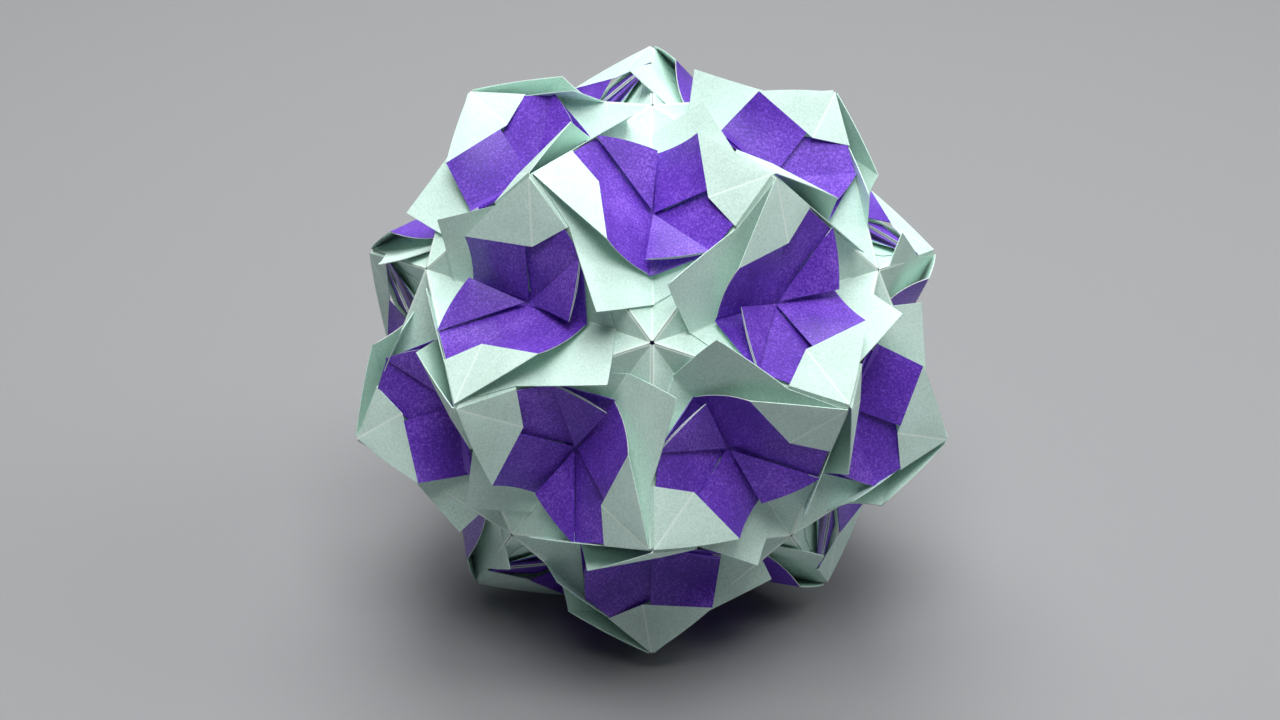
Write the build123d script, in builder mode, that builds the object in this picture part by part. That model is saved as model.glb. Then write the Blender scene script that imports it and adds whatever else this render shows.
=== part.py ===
from build123d import *
import math
import os

# A kusudama ball of thirty folded paper units. Sizes are in millimetres.
# The ball's centre is the origin. A star point, where five units meet, is straight up.

# The ball
star_span = 46.0          # from one star point of a unit to the other, along its valley fold
peak_radius = 52.8        # from the ball's centre to a peak, where three units meet
seam_gap = 0.25           # clearance between two units along their ridge

# Paper, folded over into several layers
base_thickness = 0.5      # the layers behind the valley fold
flap_thickness = 0.3      # the blade layer that lies on them
panel_thickness = 0.3     # a raised panel

# Blade: a square corner that runs on past the ridge
kite_length = 6.7         # from a star point along the valley to the blade's edge
blade_width = 10.5        # from the valley along that edge to the blade's free corner
blade_turn = 21.0         # degrees between that edge and a line straight across the unit

# Band round the ridge beside a peak, with its tab
band_length = 10.0        # from the peak along the ridge
tab_start = 4.0           # from the peak along the ridge to where the tab starts
tab_width = 4.5           # how far the tab reaches into the next unit's pocket
tab_slant = 2.7           # how much shorter its far edge is
tab_gap = 0.15            # clearance between the tab and what it slides over
peak_gap = 0.9            # how far the flat layers stay back from the peak
ridge_gap = 0.45          # how far flat layers stay back from a ridge

# Floret: places seen along the unit's own axis, across and along the valley, and how far they stand up
centre_lift = 0.35
inner_leaf_across = 6.9   # the tall corner between the band's mouth and the floret
inner_leaf_along = 10.0
inner_leaf_lift = 5.2
middle_leaf_across = 8.5  # the low corner of the band's other side
middle_leaf_along = 1.6
middle_leaf_lift = 2.7
outer_leaf_distance = 15.6    # from the peak along the ridge
outer_leaf_gap = 0.9          # how far it stays back from the ridge
outer_leaf_lift = 1.4
hem_along = 11.2          # the floret's end over the valley
hem_lift = 1.9
tip_across = 0.9          # the sprung corner above it, just past the valley
tip_along = 10.2
tip_lift = 3.4

golden = (1 + math.sqrt(5)) / 2

# A unit stands on a two-fold axis of the icosahedron, so the golden ratio gives both of its directions.
half_span = star_span / 2
valley_height = half_span * golden
peak_height = peak_radius / math.hypot(1, 1 / golden**2)
peak_across = peak_height / golden**2
slope = (peak_height - valley_height) / peak_across
flat = math.hypot(1, slope)
ridge_length = math.dist((peak_across, 0, peak_height), (0, half_span, valley_height))
plan_ridge = math.hypot(peak_across, half_span)


def surface(across):
    """Height of the unit's folded square at a distance from its valley."""
    return valley_height + slope * abs(across)


def spot(across, along, lift=0.0):
    """A point that stands up from the folded square."""
    return Vector(across, along, surface(across) + lift)


def on_ridge(distance, star, inside=0.0, lift=0.0):
    """A point at a distance from the peak along the ridge to one star point, and so far inside that ridge."""
    share = distance / ridge_length
    across = peak_across * (1 - share) - inside * half_span / plan_ridge
    along = half_span * share - inside * peak_across / plan_ridge
    return spot(across, star * along, lift)


def turned(points):
    """The same points on the unit's other side, half a turn round its axis."""
    return [Vector(-p.X, -p.Y, p.Z) for p in points]


def plate(points, thickness, direction=(0, 0, 1)):
    """A flat panel of paper under the given corners, thickened outwards."""
    first, second, third = points[:3]
    normal = (second - first).cross(third - first)
    if normal.dot(Vector(direction)) < 0:
        normal = -normal
    face_plane = Plane(origin=first, x_dir=second - first, z_dir=normal)
    with BuildSketch(face_plane) as outline:
        with BuildLine():
            Polyline(*[face_plane.to_local_coords(p) for p in points], close=True)
        make_face()
    extrude(outline.sketch, amount=thickness, dir=direction)


def golden_rhombus(height):
    """One section of the unit's share of the ball, a golden cone cut back by half a seam on every side."""
    reach = height - golden * seam_gap
    with BuildSketch(Plane.XY.offset(height)) as rhombus:
        with BuildLine():
            Polyline(
                (reach / golden**2, 0),
                (0, reach / golden),
                (-reach / golden**2, 0),
                (0, -reach / golden),
                close=True,
            )
        make_face()
    return rhombus.sketch


# The tab lies on the next unit's face, which stands square to this one across the ridge.
peak = spot(peak_across, 0)
next_star = Vector(valley_height, 0, half_span)
ridge_way = (spot(0, -half_span) - peak).normalized()
next_out = ridge_way.cross(next_star - peak).normalized()
if next_out.dot(peak) < 0:
    next_out = -next_out
next_in = (next_star - peak) - ridge_way * ridge_way.dot(next_star - peak)
next_in = next_in.normalized()
tab_lift = flap_thickness + tab_gap
tab_root = -panel_thickness / flat
tab_end = band_length - ridge_gap


def tab_spot(distance, inward):
    """A point under the tab, from the peak along the ridge and inwards over the next unit's face."""
    return peak + ridge_way * distance + next_in * inward + next_out * tab_lift


tab_outline = [
    tab_spot(tab_start, tab_root),
    tab_spot(tab_end, tab_root),
    tab_spot(tab_end, tab_width),
    tab_spot(tab_start + tab_slant, tab_width),
]

# The band runs on past the ridge until it is level with the tab's outer side.
rise_over_next = next_out.dot(on_ridge(tab_start, -1, -1) - on_ridge(tab_start, -1))
band_reach = -(tab_lift + panel_thickness) / rise_over_next
band_end = on_ridge(tab_end, -1, ridge_gap)

# The blade layer's outline, laid out in the plane of one half of the folded square.
turn = math.radians(blade_turn)
kite_edge = half_span - kite_length
blade_across = blade_width * math.cos(turn) / flat
blade_along = kite_edge + blade_width * math.sin(turn)
edge_rise = math.tan(turn) * flat
foot_across = kite_length / (half_span / peak_across + edge_rise)
foot_distance = ridge_length * (1 - foot_across / peak_across)

blade_side = [
    spot(0, kite_edge),
    spot(blade_across, blade_along),
    on_ridge(band_length + seam_gap, 1),
    on_ridge(band_length + seam_gap, 1, ridge_gap),
    spot(peak_across - peak_gap, 0),
    on_ridge(tab_start, -1, ridge_gap),
    on_ridge(tab_start, -1, band_reach),
    on_ridge(tab_end, -1, band_reach),
    band_end,
    on_ridge(foot_distance, -1, ridge_gap),
    spot(0, -kite_edge),
]

centre = spot(0, 0, centre_lift)
inner_leaf = spot(inner_leaf_across, inner_leaf_along, inner_leaf_lift)
middle_leaf = spot(middle_leaf_across, -middle_leaf_along, middle_leaf_lift)
leaf_root = spot(middle_leaf_across, -middle_leaf_along, flap_thickness)
leaf_end = on_ridge(band_length, -1, ridge_gap, flap_thickness)
outer_leaf = on_ridge(outer_leaf_distance, -1, outer_leaf_gap, outer_leaf_lift)
hem = spot(0, -hem_along, hem_lift)
hem_other_end = spot(0, hem_along, hem_lift)
tip = spot(-tip_across, -tip_along, tip_lift)
band_peak = spot(peak_across - peak_gap / 2, 0)


def half_unit(side):
    """Everything on one side of the valley: side is 1, or -1 for the same half a turn round."""

    def corners(*points):
        return list(points) if side > 0 else turned(points)

    plate(corners(*blade_side), flap_thickness)
    plate(corners(centre, inner_leaf, hem_other_end), panel_thickness)
    plate(corners(centre, middle_leaf, inner_leaf), panel_thickness)
    plate(corners(band_peak, middle_leaf, inner_leaf), panel_thickness)
    plate(corners(band_peak, band_end, middle_leaf), panel_thickness)
    plate(corners(centre, leaf_root, leaf_end), panel_thickness)
    plate(corners(centre, leaf_end, outer_leaf), panel_thickness)
    plate(corners(centre, outer_leaf, hem), panel_thickness)
    plate(corners(centre, outer_leaf, tip), panel_thickness)
    outwards = next_out if side > 0 else Vector(-next_out.X, -next_out.Y, next_out.Z)
    plate(corners(*tab_outline), panel_thickness, outwards)


with BuildPart() as share:
    loft([golden_rhombus(valley_height - 2 * base_thickness), golden_rhombus(peak_height + base_thickness)])

# One folded unit
with BuildPart() as unit:
    with BuildSketch(Plane.XZ):
        with BuildLine():
            Polyline(
                (0, valley_height),
                (peak_across, peak_height),
                (peak_across, peak_height - base_thickness),
                (0, valley_height - base_thickness),
                (-peak_across, peak_height - base_thickness),
                (-peak_across, peak_height),
                close=True,
            )
        make_face()
    extrude(amount=half_span, both=True)
    add(share.part, mode=Mode.INTERSECT)
    half_unit(1)
    half_unit(-1)


def star_direction(polar, azimuth):
    """Direction of a star point, from its angles to straight up and round the ball, in degrees."""
    return Vector(0, 0, 1).rotate(Axis.Y, polar).rotate(Axis.Z, azimuth)


star_angle = math.degrees(math.atan(2))
upper_stars = [star_direction(star_angle, 72 * k - 90) for k in range(5)]
lower_stars = [star_direction(180 - star_angle, 72 * k - 54) for k in range(5)]
top_star = Vector(0, 0, 1)
bottom_star = Vector(0, 0, -1)


def placed_plane(star, other_star):
    """The frame of the unit between two star points: its valley runs from the first to the second."""
    outwards = (star + other_star).normalized()
    along_valley = (other_star - star).normalized()
    return Plane(origin=(0, 0, 0), x_dir=along_valley.cross(outwards), z_dir=outwards)


unit_ends = {}
for k in range(5):
    after = (k + 1) % 5
    unit_ends[f"crown_unit_{k + 1}"] = (upper_stars[k], top_star)
    unit_ends[f"shoulder_unit_{k + 1}"] = (upper_stars[k], upper_stars[after])
    unit_ends[f"waist_unit_{2 * k + 1}"] = (lower_stars[k], upper_stars[k])
    unit_ends[f"waist_unit_{2 * k + 2}"] = (lower_stars[k], upper_stars[after])
    unit_ends[f"hip_unit_{k + 1}"] = (lower_stars[k], lower_stars[after])
    unit_ends[f"foot_unit_{k + 1}"] = (bottom_star, lower_stars[k])

os.makedirs("parts", exist_ok=True)
for name, (star, other_star) in unit_ends.items():
    with BuildPart() as placed_unit:
        with Locations(placed_plane(star, other_star)):
            add(unit.part)
    placed_unit.part.label = name
    export_step(placed_unit.part, f"parts/{name}.step")
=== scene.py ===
import bmesh
import bpy
import math
import random
from mathutils import Matrix, Vector


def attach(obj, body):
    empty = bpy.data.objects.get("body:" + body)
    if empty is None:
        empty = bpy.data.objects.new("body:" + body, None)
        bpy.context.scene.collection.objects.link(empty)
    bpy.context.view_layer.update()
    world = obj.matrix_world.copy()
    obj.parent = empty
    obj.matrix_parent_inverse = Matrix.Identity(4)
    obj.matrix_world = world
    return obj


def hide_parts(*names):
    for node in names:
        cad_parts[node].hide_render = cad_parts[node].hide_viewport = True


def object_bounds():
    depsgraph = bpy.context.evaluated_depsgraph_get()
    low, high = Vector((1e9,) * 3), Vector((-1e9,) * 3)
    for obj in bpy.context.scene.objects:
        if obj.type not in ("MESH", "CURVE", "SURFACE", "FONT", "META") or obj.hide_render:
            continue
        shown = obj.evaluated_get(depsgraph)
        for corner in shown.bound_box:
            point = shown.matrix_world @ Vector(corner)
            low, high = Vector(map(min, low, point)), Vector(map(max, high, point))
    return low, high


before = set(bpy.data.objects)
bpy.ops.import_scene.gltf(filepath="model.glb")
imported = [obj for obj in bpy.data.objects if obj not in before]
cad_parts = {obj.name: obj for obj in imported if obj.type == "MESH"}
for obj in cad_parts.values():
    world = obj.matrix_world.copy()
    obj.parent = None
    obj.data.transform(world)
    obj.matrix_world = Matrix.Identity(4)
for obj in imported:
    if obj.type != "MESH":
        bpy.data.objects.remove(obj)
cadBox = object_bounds()
print("frame loaded:", len(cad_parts), "units")

millimetre = 0.001

# The ball. Its lengths are millimetres until a mesh is made; those of the studio are metres.
ball = {
    "starSpan": 46.0,  # along a unit's valley, from star point to star point
    "peakRadius": 52.8,  # centre of the ball to a peak
    "bandLength": 10.0,  # from a peak along the ridge
    "sheetThickness": 0.15,  # one fold of paper, drawn a little thicker than it is so that its edge shows
    "layerGap": 0.22,  # each layer stands this far off the one below
}

golden = (1 + math.sqrt(5)) / 2
halfSpan = ball["starSpan"] / 2
valleyHeight = halfSpan * golden
peakHeight = ball["peakRadius"] / math.hypot(1, 1 / golden**2)
peakAcross = peakHeight / golden**2
peakFlat = math.hypot(peakAcross, peakHeight - valleyHeight)  # valley to peak, along the face
faceTilt = math.atan2(peakHeight - valleyHeight, peakAcross)
ridgeLength = math.hypot(peakFlat, halfSpan)


# u goes up the face from the valley, v along the valley, and lift is off the face
def onFace(u, v, lift=0.0):
    across = u * math.cos(faceTilt) - lift * math.sin(faceTilt)
    height = valleyHeight + u * math.sin(faceTilt) + lift * math.cos(faceTilt)
    return Vector((across, v, height))


# distance goes from the peak down the ridge to one star point, and inside is into the face
def onRidge(distance, star, inside=0.0, lift=0.0):
    share = distance / ridgeLength
    u = peakFlat * (1 - share) - inside * halfSpan / ridgeLength
    v = halfSpan * share - inside * peakFlat / ridgeLength
    return onFace(u, star * v, lift)


def halfTurn(point):
    return Vector((-point.x, -point.y, point.z))


# Colour


# sRGB hex to the linear colour that a shader socket takes
def linear(hexColour):
    channels = [int(hexColour[k : k + 2], 16) / 255 for k in (1, 3, 5)]
    return tuple(c / 12.92 if c <= 0.04045 else ((c + 0.055) / 1.055) ** 2.4 for c in channels) + (1.0,)


# One node: settings are properties or socket values, links are {its input: another node's output}
def addNode(tree, kind, settings=None, links=None):
    node = tree.nodes.new(kind)
    for name, value in (settings or {}).items():
        if hasattr(node, str(name)):
            setattr(node, name, value)
        else:
            node.inputs[name].default_value = value
    for name, output in (links or {}).items():
        tree.links.new(output, node.inputs[name])
    return node


# Uncoated folding paper, dyed on its two sides: matt, with a felted fibre that shows as fine mottling.
# A pattern is its size in mm, its detail and the roughness of that detail.
paperFinish = {
    "ior": 1.45,
    "fuzzRoughness": 0.45,  # loose fibre on the surface, which pales it where it is seen or lit aslant
    "cloud": (9.0, 2.0, 0.5),  # slow changes of tone over the sheet
    "cloudShare": 0.5,
    "fibre": (0.36, 3.0, 0.6),  # mottling of the felted fibre
    "toneSpread": 0.23,  # how much of the noise's range the three tones take
    "tooth": (0.28, 3.0, 0.6),  # grain that breaks up the light; really about 0.1 mm, drawn coarser to show
    "toothHeight": 0.03,
    "toothStrength": 0.35,
    "foldHighlightWidth": 0.26,  # the painted highlight along a fold line fades out over this distance to each side
    "foldHighlightShare": 1.0,  # how much of its colour shows in the middle of the line
}


# tones are the dark, middle and light of the fibre; the fold colour is a painted highlight along the fold
# lines
def paperMaterial(name, tones, foldHighlightColour, roughness, fuzz):
    material = bpy.data.materials.new(name)
    material.use_nodes = True
    tree = material.node_tree
    tree.nodes.clear()
    place = addNode(tree, "ShaderNodeTexCoord").outputs["Object"]
    patterns = {}
    for pattern in ("cloud", "fibre", "tooth"):
        size, detail, detailRoughness = paperFinish[pattern]
        settings = {"Scale": 1 / (millimetre * size), "Detail": detail, "Roughness": detailRoughness}
        noise = addNode(tree, "ShaderNodeTexNoise", settings, {"Vector": place})
        patterns[pattern] = noise.outputs["Fac"]

    # Felted fibre, with slow clouds of tone over it
    cloud = addNode(tree, "ShaderNodeMath", {"operation": "SUBTRACT", 1: 0.5}, {0: patterns["cloud"]})
    tone = addNode(
        tree,
        "ShaderNodeMath",
        {"operation": "MULTIPLY_ADD", 1: paperFinish["cloudShare"]},
        {0: cloud.outputs[0], 2: patterns["fibre"]},
    )
    ramp = addNode(tree, "ShaderNodeValToRGB", {}, {"Fac": tone.outputs[0]})
    stops = ramp.color_ramp.elements
    stops[0].position = 0.5 - paperFinish["toneSpread"]
    stops[0].color = linear(tones[0])
    stops[1].position = 0.5 + paperFinish["toneSpread"]
    stops[1].color = linear(tones[2])
    middle = stops.new(0.5)
    middle.color = linear(tones[1])

    # Painted highlight along each fold line, where a raised fold would catch the light: the mesh carries
    # each point's distance from up to three fold lines
    folds = addNode(tree, "ShaderNodeAttribute", {"attribute_name": "folds"}).outputs["Vector"]
    away = addNode(tree, "ShaderNodeVectorMath", {"operation": "ABSOLUTE"}, {0: folds})
    split = addNode(tree, "ShaderNodeSeparateXYZ", {}, {"Vector": away.outputs["Vector"]})
    smaller = {"operation": "MINIMUM"}
    nearer = addNode(tree, "ShaderNodeMath", smaller, {0: split.outputs["X"], 1: split.outputs["Y"]})
    nearest = addNode(tree, "ShaderNodeMath", smaller, {0: nearer.outputs[0], 1: split.outputs["Z"]})
    foldHighlight = addNode(
        tree,
        "ShaderNodeMapRange",
        {"From Max": paperFinish["foldHighlightWidth"], "To Min": paperFinish["foldHighlightShare"], "To Max": 0.0},
        {"Value": nearest.outputs[0]},
    )
    # The mix node's two colours are its inputs 6 and 7, and the mixed one is its output 2
    colour = addNode(
        tree,
        "ShaderNodeMix",
        {"data_type": "RGBA", 7: linear(foldHighlightColour)},
        {"Factor": foldHighlight.outputs["Result"], 6: ramp.outputs["Color"]},
    )

    bump = addNode(
        tree,
        "ShaderNodeBump",
        {"Strength": paperFinish["toothStrength"], "Distance": paperFinish["toothHeight"] * millimetre},
        {"Height": patterns["tooth"]},
    )
    shader = addNode(
        tree,
        "ShaderNodeBsdfPrincipled",
        {
            "Roughness": roughness,
            "IOR": paperFinish["ior"],
            "Sheen Weight": fuzz,
            "Sheen Roughness": paperFinish["fuzzRoughness"],
        },
        {"Base Color": colour.outputs[2], "Normal": bump.outputs["Normal"]},
    )
    addNode(tree, "ShaderNodeOutputMaterial", {}, {"Surface": shader.outputs["BSDF"]})
    return material


# The mint side is soft and matt. The purple side has more dye and is calendered, so it gives a broad sheen
# towards the light. The core is undyed, and shows white along the cut sides of the purple flaps.
# The single colour after each set of tones is the painted highlight along the fold lines
mintPaper = paperMaterial("mintDyedPaper", ("#C3DFD3", "#D2EEE4", "#E0FAF0"), "#EEFFF6", 0.8, 0.03)
purplePaper = paperMaterial("purpleDyedPaper", ("#4E2B9D", "#6838C1", "#9769E7"), "#8E6CDA", 0.4, 0.03)
cutEdge = paperMaterial("undyedPaperCore", ("#C4CDCD", "#D4DBDC", "#E2E7E8"), "#E2E7E8", 0.8, 0.0)

# A panel's slot is that of its front. Solidify adds 1 to it for the back and 2 for the rim.
mint = 0
purple = 3
cutPurple = 6
slots = [mintPaper, mintPaper, mintPaper]  # doubled paper, which shows its mint side all round
slots += [purplePaper, mintPaper, purplePaper]  # single paper with a folded side
slots += [purplePaper, mintPaper, cutEdge]  # single paper with a cut side
print("paper materials made")


# Folding: every panel is a fine sheet of cells, each corner a place and its distances from the fold lines

farAway = 9.0  # stands for the distance from a fold line that a panel hasn't got


def sheetNormal(a, b, c):
    normal = (b - a).cross(c - a).normalized()
    return -normal if normal.z < 0 else normal


def foldDistances(point, normal, folds):
    distances = [farAway] * 3
    for k, (start, end) in enumerate(folds):
        sideways = normal.cross(end - start).normalized()
        distances[k] = (point - start).dot(sideways)
    return Vector(distances)


# Four corners in order round the panel, or three; bows are the vectors by which its edges bow at mid edge.
# The side from the second corner to the third may have a slot of its own.
def patch(sheets, corners, slot, bows=None, swell=0.0, folds=(), steps=8, sideSlot=None):
    corners = list(corners)
    if len(corners) == 3:
        corners.append(corners[2])
    a, b, c, d = corners
    bow = [(bows or {}).get(k, Vector()) for k in range(4)]
    normal = sheetNormal(a, b, c)
    grid = []
    for i in range(steps + 1):
        s = i / steps
        arcS = 4 * s * (1 - s)
        row = []
        for j in range(steps + 1):
            t = j / steps
            arcT = 4 * t * (1 - t)
            flat = (a * (1 - s) + b * s) * (1 - t) + (d * (1 - s) + c * s) * t
            point = flat + (bow[0] * (1 - t) + bow[2] * t) * arcS + (bow[1] * s + bow[3] * (1 - s)) * arcT
            row.append((point + normal * swell * arcS * arcT, foldDistances(flat, normal, folds)))
        grid.append(row)
    cells = []
    for i in range(steps):
        cellSlot = slot if sideSlot is None or i < steps - 1 else sideSlot
        for j in range(steps):
            cells.append(((grid[i][j], grid[i + 1][j], grid[i + 1][j + 1], grid[i][j + 1]), cellSlot))
    sheets.append(cells)


def spread(start, end, steps):
    return [start.lerp(end, step / steps) for step in range(steps + 1)]


# A stretch of one face between rails, each of as many places (u, v); lift(u, v) says how far it stands off
def railSheet(sheets, rails, slot, lift, cell, folds=()):
    lines = [(Vector((*start, 0)), Vector((*end, 0))) for start, end in folds]
    straightUp = Vector((0, 0, 1))
    rails = [[Vector((*place, 0)) for place in rail] for rail in rails]
    grid = [[] for _ in rails]
    for k in range(len(rails[0]) - 1):
        steps = math.ceil(max((rail[k + 1] - rail[k]).length for rail in rails) / cell)
        first = 1 if k else 0  # the row already ends where the next stretch starts
        for row, rail in zip(grid, rails):
            row += spread(rail[k], rail[k + 1], steps)[first:]
    cells = []
    for near, far in zip(grid, grid[1:]):
        steps = math.ceil(max((b - a).length for a, b in zip(near, far)) / cell)
        columns = []
        for a, b in zip(near, far):
            column = []
            for place in spread(a, b, steps):
                point = onFace(place.x, place.y, lift(place.x, place.y))
                column.append((point, foldDistances(place, straightUp, lines)))
            columns.append(column)
        for left, right in zip(columns, columns[1:]):
            for k in range(steps):
                cells.append(((left[k], left[k + 1], right[k + 1], right[k]), slot))
    sheets.append(cells)


# Folded square behind everything: its two kites show at the star points, and its ridge folds are round
foldedSquare = {
    "starHole": 0.45,  # it stops short of the star point by this much
    "ridgePlaces": (0.4, 0.32, 0.24, 0.17),  # distances from the ridge over which the fold rounds off
    "ridgeFall": 0.1,
    "cell": 2.5,
    "plyReach": 5.0,  # its inner ply goes this far from the star point
    "plyDepth": 1.3,  # and lies this much nearer to the middle of the ball
    "plySteps": 2,
}


def foldSquare(side):
    edge = halfSpan - foldedSquare["starHole"]
    places = foldedSquare["ridgePlaces"]
    rails = [[(0, -edge), (0, 0), (0, edge)]]
    for inside in places:
        starEnd = peakFlat - (inside * ridgeLength + edge * peakFlat) / halfSpan
        peakEnd = peakFlat - inside * ridgeLength / halfSpan
        rails.append([(starEnd, -edge), (peakEnd, 0), (starEnd, edge)])

    def squareLift(u, v):
        inside = ((peakFlat - u) * halfSpan - abs(v) * peakFlat) / ridgeLength
        turned = max(0.0, places[0] - inside) / (places[0] - places[-1])
        return -foldedSquare["ridgeFall"] * turned * turned

    highlitRidge = rails[2]  # the rounding of the ridge fold carries a painted highlight
    folds = [((0, -edge), (0, edge)), (highlitRidge[0], highlitRidge[1]), (highlitRidge[1], highlitRidge[2])]
    railSheet(side, rails, mint, squareLift, foldedSquare["cell"], folds)

    # The inner ply closes the star point below
    reach = foldedSquare["plyReach"]
    sunk = 1 - foldedSquare["plyDepth"] / math.hypot(halfSpan, valleyHeight)
    outerCorner = onFace(peakFlat * reach / halfSpan, halfSpan - reach)
    ply = [corner * sunk for corner in (onFace(0, halfSpan - reach), outerCorner, onFace(0, halfSpan))]
    patch(side, ply, purple, steps=foldedSquare["plySteps"])


# Blade layer on the square, whose free corner runs on past the ridge
blade = {
    "kiteLength": 6.7,  # from the star point along the valley to the blade's edge
    "kiteCurl": 0.35,  # how far that edge stands up at the valley
    "kiteReach": 6.0,  # and how far from the valley it still does
    "curlStart": 0.4,  # share of the way out to the free corner
    "peakRow": -2.0,  # places on the valley from which the sheet runs straight to the peak and the crossing
    "crossingRow": 8.0,
    "peakGap": 0.8,
    "cell": 1.2,
}


# width is the length of the edge from the valley to the free corner
def foldBlade(side, width, turnDegrees, curl):
    turn = math.radians(turnDegrees)
    slope = math.tan(turn)
    kiteEdge = halfSpan - blade["kiteLength"]
    corner = (width * math.cos(turn), kiteEdge + width * math.sin(turn))
    footU = blade["kiteLength"] / (halfSpan / peakFlat + slope)  # its far edge ends on the ridge here
    share = ball["bandLength"] / ridgeLength
    crossing = (peakFlat * (1 - share), halfSpan * share)  # it leaves the ridge here for its free corner
    valleyRail = [(0, -kiteEdge), (0, blade["peakRow"]), (0, blade["crossingRow"]), (0, kiteEdge)]
    outerRail = [(footU, -kiteEdge + slope * footU), (peakFlat - blade["peakGap"], 0.0), crossing, corner]
    reach = math.hypot(*corner)
    start = blade["curlStart"] * reach

    def bladeLift(u, v):
        along = (u * corner[0] + v * corner[1]) / reach
        curled = max(0.0, (along - start) / (reach - start))
        fromKite = max(0.0, v / kiteEdge) ** 2 * (1 - min(1.0, u / blade["kiteReach"]))
        return ball["layerGap"] + curl * curled * curled + blade["kiteCurl"] * fromKite

    # The unit's two blades lie off their faces, so they meet this far from the valley
    meeting = ball["layerGap"] * math.tan(faceTilt)
    # The painted fold highlight runs along the valley crease where they meet
    folds = [((meeting, -1), (meeting, 1))]
    railSheet(side, [valleyRail, outerRail], mint, bladeLift, blade["cell"], folds)


# Places of the floret seen along the unit's own axis, as (across, along, height)
floret = {
    "centre": (0.0, 0.0, 38.0),
    "innerLeaf": (6.93, 10.03, 46.84),  # tall corner between the band's mouth and the floret
    "middleLeaf": (8.46, -1.64, 45.38),  # low corner on the band's other side
    "outerLeaf": (8.82, -10.91, 44.3),
    "hem": (-0.4, -11.5, 39.0),  # end of the floret over the valley
    "tip": (-0.95, -10.17, 41.4),  # sprung corner above it
}
wander = 0.22  # each place may be this far off, because no two units are folded quite alike


def placeFloret(rng, tipShift):
    places = {}
    for name, usual in floret.items():
        reach = 0.0 if name == "centre" else wander
        places[name] = Vector(usual) + Vector([rng.uniform(-reach, reach) for _ in range(3)])
    places["tip"] += Vector(tipShift)
    return places


# Purple floor of the floret: an outer leaf and the hem, folded together along centre to outer leaf
floor = {
    "leafUnder": (-0.2, 2.4, -1.3),  # from the middle corner to where the outer leaf runs on below it
    "leafShort": 0.6,  # the outer leaf ends this much before the band does
    "leafInside": 0.4,  # and this far from the ridge
    "leafLayers": 2.5,  # and this many layer gaps off the face
    "leafSwell": 0.15,
    "pocketDepth": 0.8,  # the pocket under the flap sinks this far behind the hem
    "underHem": (-1.5, 1.2, 0.6),  # from the hem to the strip's corner below the other half's inner leaf
    "underCentre": (-1.6, -0.3, 0.9),  # and from the centre to its next corner
    "stripSteps": 4,
}


def foldFloor(side, places):
    centre = places["centre"]
    outer = places["outerLeaf"]
    hem = places["hem"]
    root = places["middleLeaf"] + Vector(floor["leafUnder"])
    leafDistance = ball["bandLength"] - floor["leafShort"]
    leafEnd = onRidge(leafDistance, -1, floor["leafInside"], floor["leafLayers"] * ball["layerGap"])
    patch(side, (centre, root, leafEnd, outer), purple, swell=floor["leafSwell"])
    patch(side, (centre, outer, hem), purple, swell=-floor["pocketDepth"])

    # The hem's paper runs on as a strip under the other half's inner leaf, which closes the gap between them
    underHem = hem + Vector(floor["underHem"])
    underCentre = centre + Vector(floor["underCentre"])
    patch(side, (centre, hem, underHem, underCentre), purple, steps=floor["stripSteps"])


# Inner leaf, folded over into the band, and the band, folded over the ridge into the tab
innerLeaf = {
    "root": (0.3, 0.1, 1.0),  # the inner leaf stands this far off the floor at the centre
    "otherHem": (0.2, 0.0, 0.12),  # and this far off the other half's hem
    "mouthGap": 0.11,  # share of the mouth that stays open beside it
    "edgeSag": (0.35, 0.1, -0.55),
    "swell": (-0.1, 0.25),  # at random
}
band = {
    "peakGap": 0.2,
    "layers": 2.2,  # its foot is this many layer gaps off the face
    "edgeBow": (0.15, 0.1, 0.25),
    "innerSwell": 0.1,
    "outerSwell": 0.05,
    "tabGap": -0.5,  # the tab lies this far off the next unit's face, under its band
    "tabDepth": -5.0,
    "tabStart": 3.5,
}


def foldBand(side, places, swell):
    inner = places["innerLeaf"]
    middle = places["middleLeaf"]
    root = places["centre"] + Vector(innerLeaf["root"])
    otherHem = halfTurn(Vector(floret["hem"])) + Vector(innerLeaf["otherHem"])
    mouth = middle.lerp(inner, innerLeaf["mouthGap"])
    sag = {1: Vector(innerLeaf["edgeSag"])}
    patch(side, (root, otherHem, inner, mouth), purple, sag, swell, sideSlot=cutPurple)

    lift = band["layers"] * ball["layerGap"]
    peak = onFace(peakFlat - band["peakGap"], 0.0, lift)
    ridgeEnd = onRidge(ball["bandLength"], -1, 0.0, lift)
    # The painted fold highlight runs along the band's fold from the middle corner to the peak
    folds = [(middle, peak)]
    patch(side, (middle, inner, peak), mint, {1: Vector(band["edgeBow"])}, band["innerSwell"], folds)
    patch(side, (middle, peak, ridgeEnd), mint, swell=band["outerSwell"], folds=folds)

    # The tab lies on the next unit's face
    tabEnd = onRidge(ball["bandLength"], -1, band["tabGap"], band["tabDepth"])
    tabRoot = onRidge(band["tabStart"], -1, band["tabGap"], band["tabDepth"])
    patch(side, (peak, ridgeEnd, tabEnd, tabRoot), mint)


# Sprung flap of two plies over the hem
flap = {
    "root": (0.12, -0.4, 1.45),  # from the centre
    "stand": (0.35, 0.95),  # how far its side stands off the outer leaf, at random
    "bow": (0.1, -0.35, 0.2),
    "swell": 0.12,
    "lowerPly": ((0.0, 0.0, -0.18), (0.0, -0.05, -0.2), (0.12, 0.1, -0.2)),  # from the upper one's corners
    "lowerBow": (0.1, -0.4, 0.1),
    "lowerSwell": 0.05,
}


def springFlap(side, places, stand):
    root = places["centre"] + Vector(flap["root"])
    outer = places["outerLeaf"] + Vector((0.0, 0.0, stand))
    upper = (root, outer, places["tip"])
    lower = [corner + Vector(shift) for corner, shift in zip(upper, flap["lowerPly"])]
    patch(side, upper, purple, {1: Vector(flap["bow"])}, flap["swell"], sideSlot=cutPurple)
    patch(side, lower, purple, {1: Vector(flap["lowerBow"])}, flap["lowerSwell"], sideSlot=cutPurple)


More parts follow.
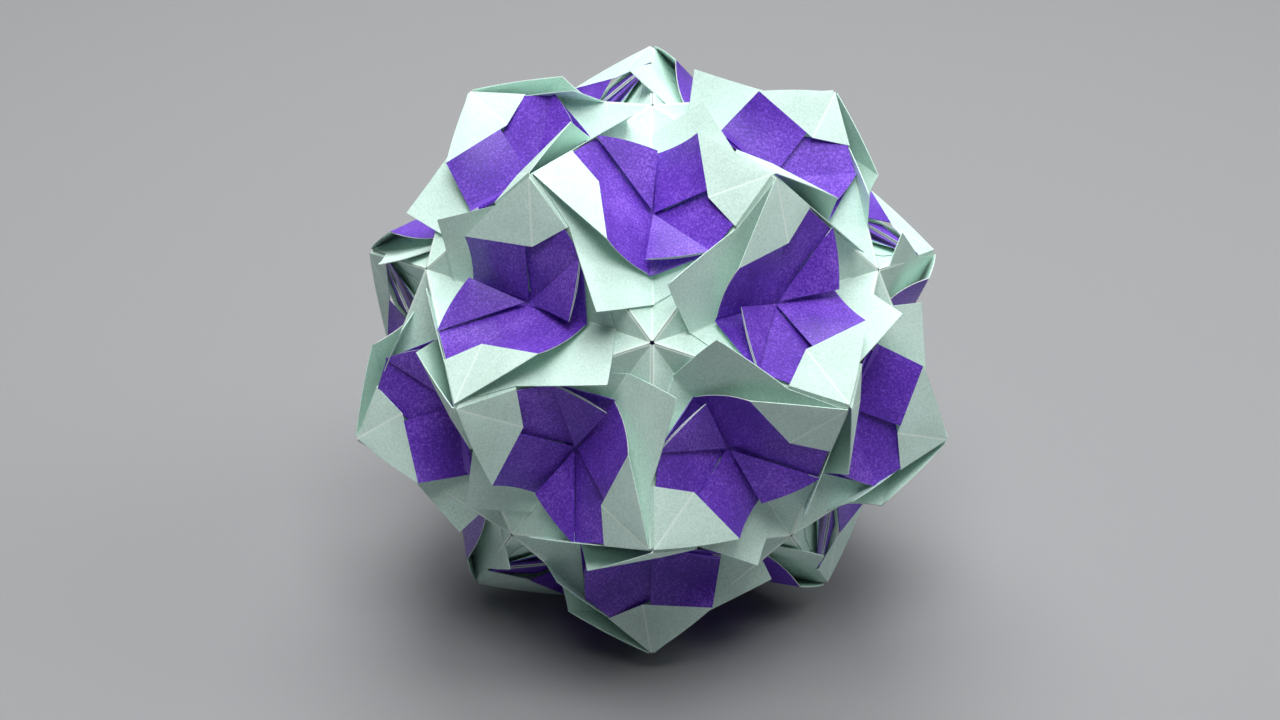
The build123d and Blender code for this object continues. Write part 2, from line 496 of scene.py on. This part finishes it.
# Both halves of one folded unit, in its own frame
def unitSheets(rng, corners, tipShifts, stands):
    sheets = []
    for half in (0, 1):
        side = []
        places = placeFloret(rng, tipShifts[half])
        foldSquare(side)
        foldBlade(side, *corners[half])
        foldFloor(side, places)
        foldBand(side, places, rng.uniform(*innerLeaf["swell"]))
        springFlap(side, places, stands[half])
        if half:
            side = [[([(halfTurn(p), d) for p, d in cell], slot) for cell, slot in cells] for cells in side]
        sheets += side
    return sheets


# Where the units go: one from each star point to each of its neighbours


# polar is the angle from straight up and azimuth the angle round the ball, in degrees
def starDirection(polar, azimuth):
    turned = Matrix.Rotation(math.radians(azimuth), 3, "Z") @ Matrix.Rotation(math.radians(polar), 3, "Y")
    return turned @ Vector((0, 0, 1))


starAngle = math.degrees(math.atan(2))
upperStars = [starDirection(starAngle, 72 * k - 90) for k in range(5)]
lowerStars = [starDirection(180 - starAngle, 72 * k - 54) for k in range(5)]
topStar = Vector((0, 0, 1))
bottomStar = Vector((0, 0, -1))


def unitFrame(star, otherStar):
    outward = (star + otherStar).normalized()
    along = (otherStar - star).normalized()
    across = along.cross(outward)
    return Matrix((across, along, outward)).transposed().to_4x4()


unitEnds = {}
for k in range(5):
    after = (k + 1) % 5
    unitEnds[f"crown_unit_{k + 1}"] = (upperStars[k], topStar)
    unitEnds[f"shoulder_unit_{k + 1}"] = (upperStars[k], upperStars[after])
    unitEnds[f"waist_unit_{2 * k + 1}"] = (lowerStars[k], upperStars[k])
    unitEnds[f"waist_unit_{2 * k + 2}"] = (lowerStars[k], upperStars[after])
    unitEnds[f"hip_unit_{k + 1}"] = (lowerStars[k], lowerStars[after])
    unitEnds[f"foot_unit_{k + 1}"] = (bottomStar, lowerStars[k])

# Each blade's free corner: its edge's length, how far that is turned to the star point, and how far it curls
# off its face. Those that the photograph shows are as photographed.
bladeCorners = {
    "width": (9.8, 11.2),  # these three at random
    "turn": (18.0, 25.0),
    "curl": (-0.8, 0.9),
    "curlUnderTheBall": -0.3,  # the ball's weight is on these
    "photographed": {
        ("crown_unit_1", 1): (11.4, 25.0, 0.2),
        ("shoulder_unit_1", 1): (11.4, 26.5, 1.5),
        ("waist_unit_1", 0): (12.2, 25.0, 1.8),
        ("waist_unit_10", 0): (11.4, 27.5, 0.9),
        ("shoulder_unit_5", 0): (11.4, 27.0, 0.5),
        ("crown_unit_5", 1): (10.7, 21.5, 0.9),
        ("shoulder_unit_5", 1): (10.2, 19.5, -0.2),
        ("shoulder_unit_4", 0): (10.6, 15.5, 2.0),
        ("waist_unit_8", 0): (10.0, 15.0, -2.2),
        ("waist_unit_9", 0): (11.5, 15.0, -0.5),
        ("waist_unit_9", 1): (10.2, 21.5, -0.9),
        ("waist_unit_10", 1): (10.7, 18.5, 0.0),
        ("hip_unit_4", 0): (9.0, 26.0, -0.7),
        ("hip_unit_5", 1): (11.5, 16.5, -1.1),
        ("foot_unit_5", 0): (10.6, 18.0, -1.2),
        ("hip_unit_5", 0): (9.1, 23.0, -0.8),
        ("waist_unit_1", 1): (9.4, 22.0, 0.1),
        ("foot_unit_1", 0): (9.3, 26.0, 0.6),
        ("hip_unit_1", 1): (11.3, 15.0, -2.0),
        ("waist_unit_2", 1): (11.2, 15.5, -0.4),
        ("shoulder_unit_2", 1): (12.0, 14.0, -1.2),
        ("waist_unit_3", 0): (10.7, 27.0, -1.3),
        ("crown_unit_2", 1): (10.0, 14.0, -0.4),
        ("crown_unit_1", 0): (10.3, 14.0, 0.6),
        ("crown_unit_2", 0): (10.1, 27.0, 1.4),
        ("crown_unit_3", 0): (10.3, 27.5, -0.5),
        ("crown_unit_4", 0): (12.2, 8.0, -1.0),
        ("crown_unit_5", 0): (10.5, 15.0, -0.8),
    },
}
# Where each sprung flap's tip stands, from its usual place
flapTips = {
    "rise": (-1.0, -0.2),  # at random
    "photographed": {
        ("crown_unit_1", 0): (0.0, 0.0, 0.2),
        ("crown_unit_1", 1): (0.0, 0.0, 0.2),
        ("shoulder_unit_1", 0): (-0.3, 1.5, 1.2),
        ("shoulder_unit_1", 1): (0.0, 0.0, 0.6),
        ("waist_unit_1", 0): (0.0, 0.0, 0.6),
        ("waist_unit_1", 1): (-0.3, -0.6, 0.3),
        ("shoulder_unit_5", 0): (0.0, 0.0, 0.7),
        ("shoulder_unit_5", 1): (0.0, 0.0, 0.35),
        ("waist_unit_10", 0): (0.0, 0.0, -0.3),
        ("waist_unit_10", 1): (0.0, 0.0, -0.2),
    },
}


# The sheets of one unit, drawn at random where the photograph doesn't show how it is folded
def drawUnit(name, star, otherStar, seed):
    rng = random.Random(seed)
    corners = []
    tipShifts = []
    for half, end in enumerate((otherStar, star)):
        width, turn, curl = (rng.uniform(*bladeCorners[key]) for key in ("width", "turn", "curl"))
        if end == bottomStar:
            curl = bladeCorners["curlUnderTheBall"]
        corners.append(bladeCorners["photographed"].get((name, half), (width, turn, curl)))
        rise = (0.0, 0.0, rng.uniform(*flapTips["rise"]))
        tipShifts.append(flapTips["photographed"].get((name, half), rise))
    stands = [rng.uniform(*flap["stand"]) for _ in range(2)]
    return unitSheets(rng, corners, tipShifts, stands)


sameCorner = 1e-4  # a cell's corners that are nearer than this are one
joinDistance = 1e-3  # cells join where their corners are nearer than this
sharpFold = math.radians(14)


# A cell has four corners, or three where it runs out to a point, and no face where two are left
def addCell(unit, cell, foldLayer):
    ring = []
    for corner in cell:
        if not ring or (corner[0] - ring[-1][0]).length > sameCorner:
            ring.append(corner)
    if (ring[0][0] - ring[-1][0]).length < sameCorner:
        ring.pop()
    if len(ring) < 3:
        return None
    face = unit.faces.new([unit.verts.new(point) for point, _ in ring])
    for loop, (_, distances) in zip(face.loops, ring):
        loop[foldLayer] = distances
    face.normal_update()
    return face


# The sheets as one mesh, with a sharp edge wherever two panels meet
def joinSheets(sheets):
    unit = bmesh.new()
    foldLayer = unit.loops.layers.float_vector.new("folds")
    panelLayer = unit.faces.layers.int.new("panel")
    for panelNumber, cells in enumerate(sheets):
        made = []
        for cell, slot in cells:
            face = addCell(unit, cell, foldLayer)
            if face:
                face.material_index = slot
                face[panelLayer] = panelNumber
                made.append(face)
        if sum(face.normal.z * face.calc_area() for face in made) < 0:
            for face in made:
                face.normal_flip()
    bmesh.ops.remove_doubles(unit, verts=unit.verts[:], dist=joinDistance)
    unit.normal_update()
    for face in unit.faces:
        face.smooth = True
    for seam in unit.edges:
        panels = {face[panelLayer] for face in seam.link_faces}
        seam.smooth = len(panels) == 1 and seam.calc_face_angle(math.pi) < sharpFold
    return unit


def foldUnit(name, star, otherStar, seed):
    unit = joinSheets(drawUnit(name, star, otherStar, seed))
    unit.transform(Matrix.Scale(millimetre, 4) @ unitFrame(star, otherStar))
    mesh = bpy.data.meshes.new(name + "_paper")
    unit.to_mesh(mesh)
    unit.free()
    piece = bpy.data.objects.new(name + "_paper", mesh)
    bpy.context.scene.collection.objects.link(piece)
    for material in slots:
        mesh.materials.append(material)
    solid = piece.modifiers.new("thickness", "SOLIDIFY")
    solid.thickness = ball["sheetThickness"] * millimetre
    solid.offset = -1.0  # the front of each panel stays where it was folded
    solid.material_offset = 1
    solid.material_offset_rim = 2
    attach(piece, "root")
    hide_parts(name)


firstSeed = 11
for seed, (name, (star, otherStar)) in enumerate(unitEnds.items(), firstSeed):
    foldUnit(name, star, otherStar, seed)
print("units folded:", len(unitEnds))


# Studio: a pale seamless sweep under two large soft lights, one above and behind the ball and one above and
# before it, and a weaker one at the right
studio = {
    "floorColour": "#929395",  # the lights bring it up to the photograph's pale grey
    "floorRoughness": 0.9,
    "sweepFront": -1.2,
    "sweepBack": 0.7,
    "sweepRadius": 0.25,
    "bendSteps": 12,
    "width": 2.4,
    "height": 1.4,
    "roomColour": "#F1E6EE",
    "roomStrength": 0.02,
}
# Each light's place and the side of its square, in metres, and its power in watts
lights = {
    "overheadSoftbox": ((-0.04, 0.34, 0.76), 0.62, 6.4),
    "frontSoftbox": ((0.02, -0.33, 0.82), 0.52, 6.2),
    "rightSoftbox": ((0.7, 0.0, 0.6), 0.5, 2.1),
}


# Background paper is uncoated and quite matt, so the floor shows only soft shadows
def makeSweep(lowest):
    material = bpy.data.materials.new("paleSeamlessPaper")
    material.use_nodes = True
    shader = material.node_tree.nodes["Principled BSDF"]
    shader.inputs["Base Color"].default_value = linear(studio["floorColour"])
    shader.inputs["Roughness"].default_value = studio["floorRoughness"]
    reach = studio["sweepRadius"]
    bendStart = studio["sweepBack"] - reach
    profile = [(studio["sweepFront"], 0.0), (bendStart, 0.0)]
    for k in range(1, studio["bendSteps"] + 1):
        angle = math.radians(90 * k / studio["bendSteps"])
        profile.append((bendStart + reach * math.sin(angle), reach - reach * math.cos(angle)))
    profile.append((studio["sweepBack"], studio["height"]))
    side = studio["width"] / 2
    verts = [(x, y, lowest + z) for x in (-side, side) for y, z in profile]
    count = len(profile)
    faces = [(k, k + 1, count + k + 1, count + k) for k in range(count - 1)]
    mesh = bpy.data.meshes.new("sweep")
    mesh.from_pydata(verts, [], faces)
    for face in mesh.polygons:
        face.use_smooth = True
    mesh.materials.append(material)
    sweep = bpy.data.objects.new("sweep", mesh)
    bpy.context.scene.collection.objects.link(sweep)


def addLight(name, place, size, power):
    light = bpy.data.lights.new(name, "AREA")
    light.size = size
    light.energy = power
    holder = bpy.data.objects.new(name, light)
    holder.location = place
    holder.rotation_euler = (-Vector(place)).to_track_quat("-Z", "Y").to_euler()
    bpy.context.scene.collection.objects.link(holder)


makeSweep(cadBox[0][2])
for name, (place, size, power) in lights.items():
    addLight(name, place, size, power)
world = bpy.data.worlds.new("softRoom")
world.use_nodes = True
world.node_tree.nodes["Background"].inputs["Color"].default_value = linear(studio["roomColour"])
world.node_tree.nodes["Background"].inputs["Strength"].default_value = studio["roomStrength"]
bpy.context.scene.world = world

# Camera: it looks along the axis of the front star point, which the photograph shows near its middle
photo = {
    "width": 1280,
    "height": 720,
    "starPixel": (652, 343),  # where it shows the front star point
    "focalPixels": 2474.0,  # the lens's focal length in its pixels
    "distance": 424.0,  # from the ball's centre, in mm
    "sensorWidth": 36.0,
}
frontStar = upperStars[0]
cameraPlace = frontStar * photo["distance"] * millimetre
rightward = Vector((1, 0, 0))
upward = rightward.cross(-frontStar)
perPixel = photo["distance"] / photo["focalPixels"] * millimetre
aim = rightward * (photo["width"] / 2 - photo["starPixel"][0]) * perPixel
aim -= upward * (photo["height"] / 2 - photo["starPixel"][1]) * perPixel
lens = bpy.data.cameras.new("camera")
lens.sensor_width = photo["sensorWidth"]
lens.lens = photo["focalPixels"] / photo["width"] * lens.sensor_width
camera = bpy.data.objects.new("camera", lens)
camera.location = cameraPlace
camera.rotation_euler = (aim - cameraPlace).to_track_quat("-Z", "Y").to_euler()
bpy.context.scene.collection.objects.link(camera)
bpy.context.scene.camera = camera
bpy.context.scene.view_settings.view_transform = "Standard"
print("studio and camera set")
